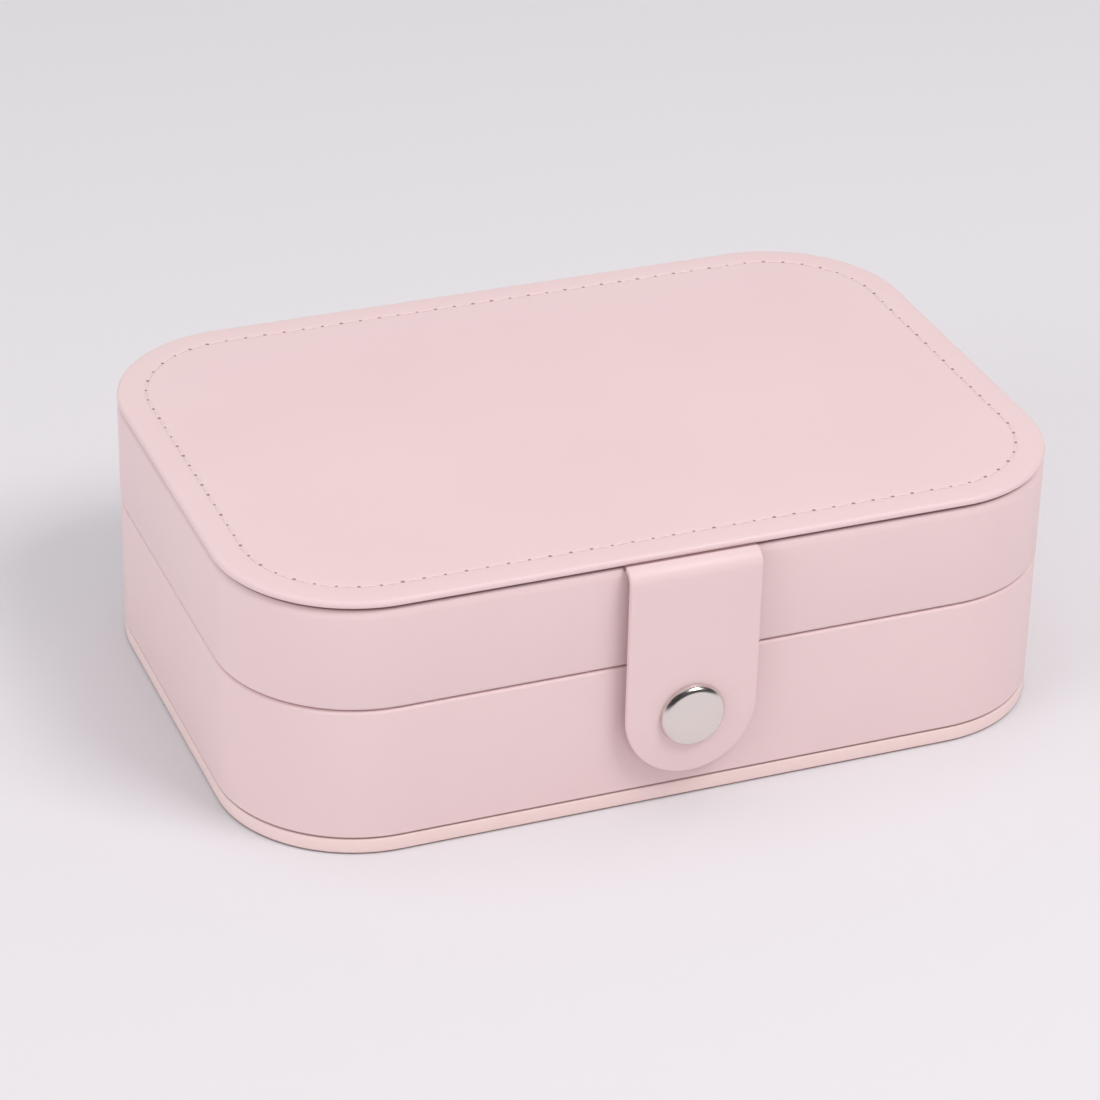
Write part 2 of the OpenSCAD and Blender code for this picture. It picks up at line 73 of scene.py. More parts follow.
camera.data.lens = 127.74
camera.data.sensor_width = 36
camera.data.clip_start = 0.01
bpy.context.scene.camera = camera

# ---------------------------------------------------------------------------------------------
# The paper sweep under the case: one matt sheet, cool and almost white.
# The classes are for shader trees: a node's output with its arithmetic, and a finish being made.
# ---------------------------------------------------------------------------------------------


class Number:
    """A node's output. Arithmetic on it adds Math nodes to its tree."""

    def __init__(self, socket):
        self.socket = socket

    def maths(self, operation, first, second):
        node = self.socket.id_data.nodes.new("ShaderNodeMath")
        node.operation = operation
        feed(node.inputs[0], first)
        feed(node.inputs[1], second)
        return Number(node.outputs[0])

    def __add__(self, other):
        return self.maths("ADD", self, other)

    def __radd__(self, other):
        return self.maths("ADD", other, self)

    def __sub__(self, other):
        return self.maths("SUBTRACT", self, other)

    def __rsub__(self, other):
        return self.maths("SUBTRACT", other, self)

    def __mul__(self, other):
        return self.maths("MULTIPLY", self, other)

    def __rmul__(self, other):
        return self.maths("MULTIPLY", other, self)


def feed(socket, value):
    """Links an output to a socket, or sets the socket's own value."""
    if isinstance(value, Number):
        socket.id_data.links.new(value.socket, socket)
    elif socket.type == "RGBA":
        socket.default_value = (*value, 1)
    else:
        socket.default_value = value


class Finish:
    """A material being made, or with an owner, the world. Most methods add a node to it."""

    def __init__(self, name, owner=None):
        self.owner = owner or bpy.data.materials.new(name)
        self.owner.use_nodes = True
        self.tree = self.owner.node_tree
        self.tree.nodes.clear()

    def node(self, kind, sockets, output=0, **settings):
        """Any node: first its settings, then the values or links of its sockets."""
        node = self.tree.nodes.new(kind)
        for name, value in settings.items():
            setattr(node, name, value)
        for name, value in sockets.items():
            feed(node.inputs[name], value)
        return Number(node.outputs[output]) if node.outputs else None

    def place(self):
        """Where on the object a point lies, in metres."""
        return self.node("ShaderNodeTexCoord", {}, output="Object")

    def texture(self, kind, sockets, **settings):
        """A pattern that fills the object's space. Its scale is in repeats per metre."""
        return self.node("ShaderNodeTex" + kind, {"Vector": self.place(), **sockets}, **settings)

    def part(self, vector, axis):
        return self.node("ShaderNodeSeparateXYZ", {"Vector": vector}, output=axis)

    def ramp(self, value, zero_at, one_at):
        """Runs from 0 to 1 while the value goes from the one place to the other."""
        sockets = {"Value": value, "From Min": zero_at, "From Max": one_at}
        return self.node("ShaderNodeMapRange", sockets)

    def mix(self, factor, first, second):
        """A colour between two others. On a Mix node, sockets 6 and 7 are its colours."""
        sockets = {0: factor, 6: first, 7: second}
        return self.node("ShaderNodeMix", sockets, output=2, data_type="RGBA")

    def bump(self, height, strength, distance):
        sockets = {"Height": height, "Strength": strength, "Distance": distance}
        return self.node("ShaderNodeBump", sockets)

    def surface(self, **sockets):
        """Ends the tree with one principled shader. Underscores stand for spaces in names."""
        named = {name.replace("_", " "): value for name, value in sockets.items()}
        shader = self.node("ShaderNodeBsdfPrincipled", named)
        self.node("ShaderNodeOutputMaterial", {"Surface": shader})
        return self.owner


bpy.ops.mesh.primitive_plane_add(size=8)
paper = bpy.context.object
paper.name = paper.data.name = "paper_sweep"
paper.data.materials.append(
    Finish("paper").surface(
        Base_Color=(0.76, 0.742, 0.768), Roughness=0.9, Specular_IOR_Level=0.1
    )
)

# ---------------------------------------------------------------------------------------------
# The light: a white tent, a soft lamp from the front right and two weaker ones. High in front
# the tent is open, which only gloss sees: bright metal mirrors the opening as a dark edge.
# ---------------------------------------------------------------------------------------------
tent_strength, opening_loss = 0.62, 0.58
bpy.context.scene.view_settings.view_transform = "Standard"
world = bpy.context.scene.world or bpy.data.worlds.new("tent")
bpy.context.scene.world = world
tent = Finish("tent", world)
direction = tent.node("ShaderNodeTexCoord", {}, output="Generated")
high_up = tent.ramp(tent.part(direction, "Z"), 0.04, 0.16)
in_front = tent.ramp(tent.part(direction, "Y"), 0.5, 0.3)
gloss = tent.node("ShaderNodeLightPath", {}, output="Is Glossy Ray")
strength = tent_strength - gloss * (high_up * in_front * opening_loss)
tent_light = tent.node("ShaderNodeBackground", {"Color": (0.98, 0.98, 1.0), "Strength": strength})
tent.node("ShaderNodeOutputWorld", {"Surface": tent_light})


def add_lamp(name, place, target, size, watts, colour=(1, 1, 1)):
    """A soft square lamp that is turned to its target."""
    bpy.ops.object.light_add(type="AREA", location=place)
    lamp = bpy.context.object
    lamp.name = lamp.data.name = name
    lamp.data.size, lamp.data.energy, lamp.data.color = size, watts, colour
    lamp.rotation_euler = (Vector(target) - Vector(place)).to_track_quat("-Z", "Y").to_euler()
    return lamp


add_lamp("key_lamp", (0.42, -0.62, 1.05), (0, 0, 0), 0.5, 6.8, (1.0, 0.965, 0.95))
add_lamp("overhead_lamp", (-0.25, 0.10, 1.3), (0, 0, 0), 0.9, 1.5)
left_lamp = add_lamp("left_lamp", (-1.3, -0.45, 0.55), (0, 0, 0.02), 0.8, 5.6)
left_lamp.visible_glossy = False

# ---------------------------------------------------------------------------------------------
# The bottom panel: leather turned over a board, a touch lighter and warmer than the rest as painted
# light for the light its rim catches from the floor. Its rounded edge shows as a rim at the foot.
# ---------------------------------------------------------------------------------------------
panel_low, panel_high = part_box("base_bottom_cover")
case_width = panel_high.x - panel_low.x
case_depth = panel_high.y - panel_low.y
corner_radius, corner_steps = 27 * MM, 24
foot_edge_radius, groove_edge_radius = 0.7 * MM, 0.4 * MM
# What lies within a hair of a place is at it, and what lies within a crumb is merged. An edge
# of a round corner has its middle inside the arc, by less than the slack.
hair, crumb, arc_slack = 0.02 * MM, 0.002 * MM, 0.1 * MM
# Painted shade: the brown painted into the grooves and along the foot's lower edge, and how far its
# edges blur.
crease_shade_brown, shade_blur = (0.24, 0.105, 0.10), 0.08 * MM


def leather(name, painted_shades, pink=(0.81, 0.625, 0.625), shade=(0.775, 0.58, 0.585)):
    """Smooth coated leather: almost even pink, a satin coat and a very fine grain.

    Each painted shade is an axis, the two places on it between which the leather is painted brown
    as the shade of a groove or of the foot's contact with the floor, and how strong the brown is.
    """
    finish = Finish(name)
    shade_mask = 0.0
    for axis, low, high, amount in painted_shades:
        across = finish.part(finish.place(), axis)
        rise = finish.ramp(across, low - shade_blur, low + shade_blur)
        fall = finish.ramp(across, high + shade_blur, high - shade_blur)
        shade_mask = rise * fall * amount + shade_mask
    cloud = finish.texture("Noise", {"Scale": 22.0, "Detail": 3.0})
    pores = finish.texture("Voronoi", {"Scale": 2600.0})
    swell = finish.texture("Noise", {"Scale": 90.0, "Detail": 2.0})
    return finish.surface(
        Base_Color=finish.mix(shade_mask, finish.mix(cloud, shade, pink), crease_shade_brown),
        Roughness=cloud * 0.08 + shade_mask * 0.3 + 0.40,
        Specular_IOR_Level=0.42,
        Normal=finish.bump(pores * 0.12 + swell * 0.9, 0.35, 0.05 * MM),
    )


def select(piece, kind, test):
    """In edit mode, selects the vertices, edges or polygons whose middle passes the test."""
    bpy.ops.object.mode_set(mode="OBJECT")
    mesh = piece.data
    chosen = []
    for element in getattr(mesh, kind):
        corners = [element.index] if kind == "vertices" else element.vertices
        middle = sum((mesh.vertices[corner].co for corner in corners), Vector())
        chosen.append(test(middle / len(corners)))
    modes = {"vertices": "VERT", "edges": "EDGE", "polygons": "FACE"}
    bpy.ops.object.mode_set(mode="EDIT")
    bpy.ops.mesh.select_mode(type=modes[kind])
    bpy.ops.mesh.select_all(action="DESELECT")
    bpy.ops.object.mode_set(mode="OBJECT")
    getattr(mesh, kind).foreach_set("select", chosen)
    bpy.ops.object.mode_set(mode="EDIT")


def depth_in(point):
    """How far inside the case's outline a point lies, seen from above."""
    x = abs(point.x) - (case_width / 2 - corner_radius)
    y = abs(point.y) - (case_depth / 2 - corner_radius)
    outside = math.hypot(max(x, 0), max(y, 0)) + min(max(x, y), 0)
    return corner_radius - outside


def start(name, add=bpy.ops.mesh.primitive_plane_add, **shape):
    """Adds a primitive, or a unit square where no shape is given, and opens it for editing."""
    bpy.ops.object.select_all(action="DESELECT")
    add(**(shape or {"size": 1}))
    piece = bpy.context.object
    piece.name = piece.data.name = name
    bpy.ops.object.mode_set(mode="EDIT")
    bpy.ops.mesh.select_all(action="SELECT")
    return piece


def shape_square(width, depth, radius, centre, steps=corner_steps):
    """Makes the selected unit square a rounded rectangle, and moves it to its place."""
    bpy.ops.transform.resize(value=(width, depth, 1), center_override=(0, 0, 0))
    bpy.ops.transform.translate(value=centre)
    if radius:
        bpy.ops.mesh.bevel(offset=radius, segments=steps, affect="VERTICES")


def outline_face(name, inset, height):
    """A new flat face with the case's outline, drawn in by an inset, open for editing."""
    piece = start(name)
    shape_square(
        case_width - 2 * inset, case_depth - 2 * inset, corner_radius - inset, (0, 0, height)
    )
    return piece


def extrude(shift):
    bpy.ops.mesh.extrude_region_move(TRANSFORM_OT_translate={"value": shift})


def raise_by(height):
    """Extrudes what is selected straight up or down."""
    extrude((0, 0, height))


def bevel_rim(piece, height, radius, segments=5, inset=0):
    """Rounds the edges at a height and at an inset from the case's outline."""
    select(
        piece, "edges",
        lambda middle: abs(middle.z - height) < hair
        and abs(depth_in(middle) - inset) < arc_slack,
    )
    bpy.ops.mesh.bevel(offset=radius, segments=segments, affect="EDGES")


def finish_mesh(piece, tidy=False):
    """Closes edit mode. With tidy, doubles are merged and the faces turned outwards first."""
    if tidy:
        bpy.ops.mesh.select_all(action="SELECT")
        bpy.ops.mesh.remove_doubles(threshold=crumb)
        bpy.ops.mesh.normals_make_consistent(inside=False)
    bpy.ops.object.mode_set(mode="OBJECT")
    bpy.ops.object.transform_apply(location=True, rotation=True, scale=True)
    return piece


def dress(piece, material, body, slot, *nodes, smooth=35):
    """Shades a finished piece, gives it its material and hangs it on its body."""
    bpy.ops.object.select_all(action="DESELECT")
    piece.select_set(True)
    bpy.context.view_layer.objects.active = piece
    bpy.ops.object.shade_smooth_by_angle(angle=math.radians(smooth))
    piece.data.materials.clear()
    piece.data.materials.append(material)
    if nodes:
        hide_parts(*nodes)
    if body:
        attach(piece, body)
    return piece


lid_groove_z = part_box("lid_top_cover")[0].z
# Painted shade: brown along the foot's lower edge for its contact shadow, and in the groove over
# the foot and the one under the top for their shade.
painted_groove_shades = [
    ("Z", -1 * MM, 0.42 * MM, 0.9),  # the lower edge of the foot
    ("Z", panel_high.z - 0.05 * MM, panel_high.z + 0.5 * MM, 0.5),  # the groove over the foot
    ("Z", lid_groove_z - 0.72 * MM, lid_groove_z + 0.13 * MM, 0.8),  # the one under the top
]
case_leather = leather("case_leather", painted_groove_shades)
# Painted light: the foot's leather is lighter and warmer than the case's, standing in for the light
# its rim catches from the floor.
lit_foot_leather = leather(
    "lit_foot_leather", painted_groove_shades, pink=(0.867, 0.688, 0.660), shade=(0.829, 0.638, 0.618)
)
bottom_panel = outline_face("bottom_panel", 0, panel_low.z)
raise_by(panel_high.z - panel_low.z)
bevel_rim(bottom_panel, panel_low.z, foot_edge_radius)
bevel_rim(bottom_panel, panel_high.z, groove_edge_radius, segments=3)
finish_mesh(bottom_panel, tidy=True)
dress(bottom_panel, lit_foot_leather, "base", "pink_leather", "base_bottom_cover")

# ---------------------------------------------------------------------------------------------
# The card of the floor, the walls and the top: grey board, bent round the corners and glued up.
# The leather hides it, but for its edge in the dark of the two grooves.
# ---------------------------------------------------------------------------------------------


def grey_card():
    """Pressed paper board: mottled grey, quite matt, with short fibres."""
    finish = Finish("grey_card")
    mottle = finish.texture("Noise", {"Scale": 600.0, "Detail": 4.0})
    return finish.surface(
        Base_Color=finish.mix(mottle, (0.20, 0.14, 0.13), (0.32, 0.24, 0.22)),
        Roughness=0.9,
        Normal=finish.bump(mottle, 0.4, 0.05 * MM),
    )


def refinish(material, *nodes):
    """Gives a frame node, kept as it is, a better material."""
    for node in nodes:
        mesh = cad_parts[node].data
        mesh.materials.clear()
        mesh.materials.append(material)


refinish(grey_card(), "base_floor_board", "base_wall_board", "lid_top_board", "lid_wall_board")

# ---------------------------------------------------------------------------------------------
# The base's skin: a band of leather round the wall, turned over the top edge of the card.
# It stops behind, where the hinge strip lies between its ends.
# ---------------------------------------------------------------------------------------------
leather_thickness, hem_radius = 0.8 * MM, 0.7 * MM
base_hem_reach = 3 * MM
spine_low, spine_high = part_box("hinge_spine")
# How far in from the back and from the front a skin is cut. The last holds its back wall alone.
back_zone, front_zone, back_wall = 3 * MM, 5 * MM, 0.9 * MM


def apply_modifier(piece, kind, **settings):
    """Puts a modifier on a finished piece and makes its result the mesh."""
    modifier = piece.modifiers.new(kind, kind)
    for name, value in settings.items():
        setattr(modifier, name, value)
    bpy.ops.object.modifier_apply(modifier=modifier.name)


def solidify(piece, thickness):
    """Gives a sheet its thickness, on the side away from its faces' normals."""
    apply_modifier(piece, "SOLIDIFY", thickness=thickness, offset=-1, use_even_offset=True)


def turned_skin(name, node, top_reach, low_reach, top_radius, low_radius=0, strap_slot=0):
    """A band of leather round the case with its top edge, and perhaps its lower one, turned in."""
    low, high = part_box(node)
    back_y = case_depth / 2
    skin = outline_face(name, 0, high.z)
    bpy.ops.mesh.inset(thickness=top_reach, depth=0)
    bpy.ops.mesh.delete(type="FACE")
    select(skin, "edges", lambda middle: depth_in(middle) < arc_slack)
    raise_by(low.z - high.z)
    if low_reach:
        bpy.ops.mesh.edge_face_add()
        bpy.ops.mesh.inset(thickness=low_reach, depth=0)
        bpy.ops.mesh.delete(type="FACE")
        bevel_rim(skin, low.z, low_radius, segments=4)
    bevel_rim(skin, high.z, top_radius, segments=7)

    def cut_out(left, right, zone, inside):
        """Cuts a zone across at two places and takes out what is inside between them."""
        for side in (left, right):
            select(skin, "polygons", zone)
            bpy.ops.mesh.bisect(plane_co=(side, 0, 0), plane_no=(1, 0, 0))
        select(
            skin, "polygons",
            lambda middle: left < middle.x < right and zone(middle) and inside(middle),
        )
        bpy.ops.mesh.delete(type="FACE")

    cut_out(
        spine_low.x, spine_high.x,
        zone=lambda middle: middle.y > back_y - back_zone,
        inside=lambda middle: middle.y > back_y - back_wall and middle.z < spine_high.z,
    )
    if strap_slot:
        cut_out(
            -strap_slot, strap_slot,
            zone=lambda middle: middle.y < front_zone - back_y,
            inside=lambda middle: middle.z > high.z - leather_thickness,
        )
    finish_mesh(skin, tidy=True)
    solidify(skin, leather_thickness)
    return skin


base_skin = turned_skin("base_skin", "base_wall_cover", base_hem_reach, 0, hem_radius)
dress(base_skin, case_leather, "base", "pink_leather", "base_wall_cover")

# ---------------------------------------------------------------------------------------------
# The collar: a ring of card in velvet, glued inside the wall and standing a little over it.
# The lid drops over it and is held in place.
# ---------------------------------------------------------------------------------------------
collar_inset, collar_thickness = 3.0 * MM, 1.4 * MM
velvet_edge = 0.6 * MM


def velvet(name, pile=(0.76, 0.555, 0.56), shade=(0.66, 0.455, 0.465)):
    """Short-piled velvet: brushed this way and that in patches, with a soft sheen."""
    finish = Finish(name)
    brushed = finish.texture("Noise", {"Scale": 120.0, "Detail": 4.0})
    fibres = finish.texture("Noise", {"Scale": 4200.0, "Detail": 2.0})
    return finish.surface(
        Base_Color=finish.mix(brushed * 0.7 + fibres * 0.3, shade, pile),
        Roughness=0.95,
        Specular_IOR_Level=0.12,
        Sheen_Weight=0.45,
        Sheen_Roughness=0.35,
        Sheen_Tint=(1.0, 0.86, 0.87),
        Normal=finish.bump(fibres * 0.7 + brushed * 0.6, 0.6, 0.1 * MM),
    )


def ring_wall(name, node, inset, thickness, edge=0):
    """An upright band round the case, from a node's lowest to its highest point."""
    low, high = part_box(node)
    ring = outline_face(name, inset, low.z)
    bpy.ops.mesh.inset(thickness=thickness, depth=0)
    bpy.ops.mesh.delete(type="FACE")
    bpy.ops.mesh.select_all(action="SELECT")
    raise_by(high.z - low.z)
    if edge:
        bevel_rim(ring, high.z, edge, inset=inset)
        bevel_rim(ring, high.z, edge, inset=inset + thickness)
    return finish_mesh(ring, tidy=True)


pink_velvet = velvet("pink_velvet")
collar = ring_wall("collar", "base_collar", collar_inset, collar_thickness, velvet_edge)
dress(collar, pink_velvet, "base", "velvet", "base_collar")

# ---------------------------------------------------------------------------------------------
# The floor pad: thin wadding under velvet, cut to the inside of the collar and laid in.
# Its upper edge is round, and the lower dividers stand on it.
# ---------------------------------------------------------------------------------------------
floor_pad_edge = 0.5 * MM


def slab(name, node, inset, edge, top=True):
    """A flat pad with the case's outline, its upper or lower edge rounded."""
    low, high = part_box(node)
    pad = outline_face(name, inset, low.z)
    raise_by(high.z - low.z)
    bevel_rim(pad, high.z if top else low.z, edge, segments=4, inset=inset)
    return finish_mesh(pad, tidy=True)


floor_pad = slab(
    "floor_pad", "base_floor_lining", collar_inset + collar_thickness, floor_pad_edge
)
dress(floor_pad, pink_velvet, "base", "velvet", "base_floor_lining")

# ---------------------------------------------------------------------------------------------
# The lower dividers: strips of card in velvet, one along the case and two across in front of it.
# They stand on the floor pad and carry the tray.
# ---------------------------------------------------------------------------------------------


def velvet_card(name, node):
    """A strip of card that stands on its edge, with the velvet folded over its upper edge."""
    low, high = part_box(node)
    size, middle = high - low, (high + low) / 2
    card = start(name)
    shape_square(size.x, size.y, 0, (middle.x, middle.y, low.z))
    raise_by(size.z)
    long_way = 0 if size.x > size.y else 1
    select(
        card, "edges",
        lambda point: point.z > high.z - hair
        and abs(point[long_way] - middle[long_way]) < hair,
    )
    bpy.ops.mesh.bevel(offset=velvet_edge, segments=5, affect="EDGES")
    return finish_mesh(card)


for node in ("lower_divider_long", "lower_divider_left", "lower_divider_right"):
    dress(velvet_card(node + "_card", node), pink_velvet, "base", "velvet", node)

# ---------------------------------------------------------------------------------------------
# The press stud's male half, riveted through the base's wall: pressed brass, nickel plated.
# The lid's hooks and the stud's other half behind the strap are plated alike.
# ---------------------------------------------------------------------------------------------


def plated(name, bright, dull, roughness):
    """Plated metal: nearly even, with faint clouds of handling on it and very fine scratches."""
    finish = Finish(name)
    cloud = finish.texture("Noise", {"Scale": 300.0, "Detail": 3.0})
    scratches = finish.texture("Noise", {"Scale": 6000.0})
    return finish.surface(
        Base_Color=finish.mix(cloud, dull, bright),
        Metallic=1.0,
        Roughness=cloud * 0.12 + roughness,
        Normal=finish.bump(scratches, 0.06, 0.02 * MM),
    )


nickel = plated("nickel", (0.74, 0.72, 0.70), (0.62, 0.60, 0.58), 0.22)
refinish(nickel, "snap_stud", "stud_rivet", "snap_socket", "necklace_hooks", "hook_rivets")

# ---------------------------------------------------------------------------------------------
# The tray: card walls and floor in velvet. It rests on the lower dividers and lifts out.
# A second piece of velvet is laid on its floor.
# ---------------------------------------------------------------------------------------------
tray_inset, tray_wall_thickness = 5.0 * MM, 1.4 * MM
lining_inset, lining_edge = tray_inset + tray_wall_thickness, 0.25 * MM
tray_low, tray_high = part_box("tray_shell")
lining_low, lining_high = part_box("tray_floor_lining")
tray = outline_face("tray", tray_inset, tray_low.z)
raise_by(tray_high.z - tray_low.z)
bpy.ops.mesh.inset(thickness=tray_wall_thickness, depth=0)
raise_by(lining_low.z - tray_high.z)
for inset in (tray_inset, lining_inset):
    bevel_rim(tray, tray_high.z, velvet_edge, inset=inset)
bevel_rim(tray, tray_low.z, velvet_edge, segments=3, inset=tray_inset)
dress(finish_mesh(tray, tidy=True), pink_velvet, "tray", "velvet", "tray_shell")

tray_lining = slab("tray_lining", "tray_floor_lining", lining_inset, lining_edge)
dress(tray_lining, pink_velvet, "tray", "velvet", "tray_floor_lining")

# ---------------------------------------------------------------------------------------------
# The tray's dividers: one on each side of the ring rolls and one across on the right.
# Each is a strip of card in velvet that stands on its edge.
# ---------------------------------------------------------------------------------------------
for node in ("tray_divider_left", "tray_divider_right", "tray_cross_divider"):
    dress(velvet_card(node + "_card", node), pink_velvet, "tray", "velvet", node)

# ---------------------------------------------------------------------------------------------
# The ring rolls: five bars of firm foam in velvet, side by side, that hold rings between them.
# Their ends are drawn together, and the velvet lies a little unevenly along them.
# ---------------------------------------------------------------------------------------------
rolls_low, rolls_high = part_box("ring_rolls")
roll_count, roll_slot, roll_rows = 5, 0.5 * MM, 20
side_slack, end_slack = 0.2 * MM, 0.4 * MM
glued_height, unevenness = 1 * MM, 0.09 * MM
roll_width = (rolls_high.x - rolls_low.x - (roll_count - 1) * roll_slot) / roll_count
roll_length = rolls_high.y - rolls_low.y
roll_middle = rolls_low.x + roll_width / 2


def cut_rows(rows):
    """Cuts the open piece across at each of some places along y."""
    for row in rows:
        bpy.ops.mesh.select_all(action="SELECT")
        bpy.ops.mesh.bisect(plane_co=(0, row, 0), plane_no=(0, 1, 0))


def repeat(piece, places):
    """Copies a piece to many places, each a shift, a turn and a size, and joins the copies."""
    copies = []
    for shift, turn, size in places:
        copy = piece.copy()
        copy.data = piece.data.copy()
        bpy.context.collection.objects.link(copy)
        copy.location = shift
        copy.rotation_euler.z = turn
        copy.scale = (size, size, size)
        copies.append(copy)
    name = piece.name
    bpy.data.objects.remove(piece)
    bpy.ops.object.select_all(action="DESELECT")
    for copy in copies:
        copy.select_set(True)
    bpy.context.view_layer.objects.active = copies[0]
    bpy.ops.object.join()
    joined = bpy.context.object
    joined.name = joined.data.name = name
    bpy.ops.object.transform_apply(location=True, rotation=True, scale=True)
    return joined


ring_roll = start("ring_roll_set")
shape_square(
    roll_width - side_slack, roll_length - end_slack, 0, (roll_middle, 0, rolls_low.z)
)
raise_by(rolls_high.z - rolls_low.z)
select(
    ring_roll, "edges", lambda middle: middle.z > rolls_high.z - hair and abs(middle.y) < hair
)
bpy.ops.mesh.bevel(offset=roll_width * 0.47, segments=6, affect="EDGES")
cut_rows([rolls_low.y + roll_length * row / roll_rows for row in range(1, roll_rows)])
select(ring_roll, "polygons", lambda middle: abs(middle.y) > roll_length / 2 - end_slack)
for tuck, swelling in ((0.9, 0.15), (1.2, 0.05)):
    bpy.ops.mesh.inset(thickness=tuck * MM, depth=swelling * MM)
select(ring_roll, "vertices", lambda point: point.z > rolls_low.z + glued_height)
bpy.ops.transform.vertex_random(offset=unevenness, seed=7)
finish_mesh(ring_roll)
apply_modifier(ring_roll, "SUBSURF", levels=2, render_levels=2)
roll_pitch = roll_width + roll_slot
ring_roll = repeat(ring_roll, [((roll_pitch * i, 0, 0), 0, 1) for i in range(roll_count)])
dress(ring_roll, pink_velvet, "tray", "velvet", "ring_rolls")

# ---------------------------------------------------------------------------------------------
# The lift tabs: a leather tongue glued inside each end of the tray, to lift it out by.
# Both are cut from the case's own leather, with round corners and softened edges.
# ---------------------------------------------------------------------------------------------
tab_low, tab_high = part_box("tray_lift_tabs")
tab_height = tab_high.z - tab_low.z
tab_thickness, tab_corner, tab_edge = 0.8 * MM, 3 * MM, 0.22 * MM


def soften_edges(radius):
    """Rounds each sharp edge of the open piece."""
    bpy.ops.mesh.select_mode(type="EDGE")
    bpy.ops.mesh.select_all(action="DESELECT")
    bpy.ops.mesh.edges_select_sharp(sharpness=math.radians(60))
    bpy.ops.mesh.bevel(offset=radius, segments=3, affect="EDGES")


lift_tabs = start("lift_tabs")
shape_square(tab_height, tab_high.y - tab_low.y, tab_corner, (0, 0, 0), steps=8)
bpy.ops.transform.rotate(value=math.pi / 2, orient_axis="Y", center_override=(0, 0, 0))
bpy.ops.transform.translate(value=(tab_high.x - tab_thickness, 0, tab_low.z + tab_height / 2))
extrude((tab_thickness, 0, 0))
bpy.ops.mesh.select_all(action="SELECT")
bpy.ops.mesh.normals_make_consistent(inside=False)
soften_edges(tab_edge)
finish_mesh(lift_tabs)
lift_tabs = repeat(lift_tabs, [((0, 0, 0), turn, 1) for turn in (0, math.pi)])
dress(lift_tabs, case_leather, "tray", "pink_leather", "tray_lift_tabs")

# ---------------------------------------------------------------------------------------------
# The hinge: one strip of leather down the back, glued to the base's wall and the lid's.
# It is creased where the two part, where the real strip bends as the lid opens.
# ---------------------------------------------------------------------------------------------
parting_height = (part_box("base_wall_cover")[1].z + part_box("lid_wall_cover")[0].z) / 2
crease_depth, crease_half, crease_steps = 0.35 * MM, 1.2 * MM, 5
flat_rows = (5 * MM, 2.4 * MM)
first_row_depth = 1 * MM
hinge_strip = start("hinge_strip")
shape_square(
    spine_high.x - spine_low.x, first_row_depth, 0,
    (0, spine_high.y - first_row_depth / 2, spine_low.z),
)
select(hinge_strip, "edges", lambda middle: middle.y > spine_high.y - hair)
rows = [(spine_low.z, 0.0)] + [(parting_height - reach, 0.0) for reach in flat_rows]
for step in range(-crease_steps, crease_steps + 1):
    share = step / crease_steps
    sink = crease_depth * math.cos(share * math.pi / 2) ** 2
    rows.append((parting_height + share * crease_half, -sink))
rows += [(parting_height + reach, 0.0) for reach in reversed(flat_rows)] + [(spine_high.z, 0.0)]
for (height, lift), (next_height, next_lift) in zip(rows, rows[1:]):
    extrude((0, next_lift - lift, next_height - height))
select(hinge_strip, "polygons", lambda middle: middle.z < spine_low.z + hair)
bpy.ops.mesh.delete(type="FACE")
finish_mesh(hinge_strip, tidy=True)
solidify(hinge_strip, leather_thickness)
dress(hinge_strip, case_leather, None, "pink_leather", "hinge_spine")
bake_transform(hinge_strip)

# ---------------------------------------------------------------------------------------------
# The lid's skin: leather over the lid's wall and its soft shoulder, glued down on the top card
# under the panel. Below, it turns under the card and up inside as a hem.
# ---------------------------------------------------------------------------------------------
shoulder_radius, shoulder_reach = 2.0 * MM, 4.0 * MM
lid_board_inset, hem_thickness, hem_height = 2.0 * MM, 0.5 * MM, 6 * MM
strap_low, strap_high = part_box("closure_strap")
strap_gap = 0.05 * MM
lid_skin = turned_skin(
    "lid_skin", "lid_wall_cover", shoulder_reach, lid_board_inset + hem_thickness,
    shoulder_radius, hem_radius, strap_slot=strap_high.x + strap_gap,
)
lid_skin_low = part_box("lid_wall_cover")[0]
lid_hem = outline_face("lid_hem", lid_board_inset, lid_skin_low.z + leather_thickness)
bpy.ops.mesh.inset(thickness=hem_thickness, depth=0)
bpy.ops.mesh.delete(type="FACE")
bpy.ops.mesh.select_all(action="SELECT")
raise_by(hem_height)
finish_mesh(lid_hem, tidy=True)
bpy.ops.object.select_all(action="DESELECT")
lid_hem.select_set(True)
lid_skin.select_set(True)
bpy.context.view_layer.objects.active = lid_skin
bpy.ops.object.join()
dress(lid_skin, case_leather, "lid", "pink_leather", "lid_wall_cover")

# ---------------------------------------------------------------------------------------------
# The lid's lining: a band of velvet above the hem, and a card in velvet inside the top.
# The card is glued up under the top board, with its round edge downwards.
# ---------------------------------------------------------------------------------------------
ceiling_edge = 0.4 * MM
wall_lining = ring_wall("lid_wall_lining_band", "lid_wall_lining", lid_board_inset, hem_thickness)
dress(wall_lining, pink_velvet, "lid", "velvet", "lid_wall_lining")
ceiling = slab("lid_ceiling_card", "lid_ceiling_lining", lid_board_inset, ceiling_edge, top=False)
dress(ceiling, pink_velvet, "lid", "velvet", "lid_ceiling_lining")

# ---------------------------------------------------------------------------------------------
# The top panel: leather over thin foam and a board, its edge rolled and its margin sewn down.
# The stitches pull a shallow channel into it, and inside that the foam lifts it a little.
# ---------------------------------------------------------------------------------------------
top_low, top_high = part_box("lid_top_cover")
foam_low, foam_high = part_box("lid_foam_pad")
foam_inset = top_high.x - foam_high.x
panel_edge_radius = 0.8 * MM
margin_fall, margin_roll = 0.08 * MM, 3.2 * MM
stitch_inset = 5.65 * MM
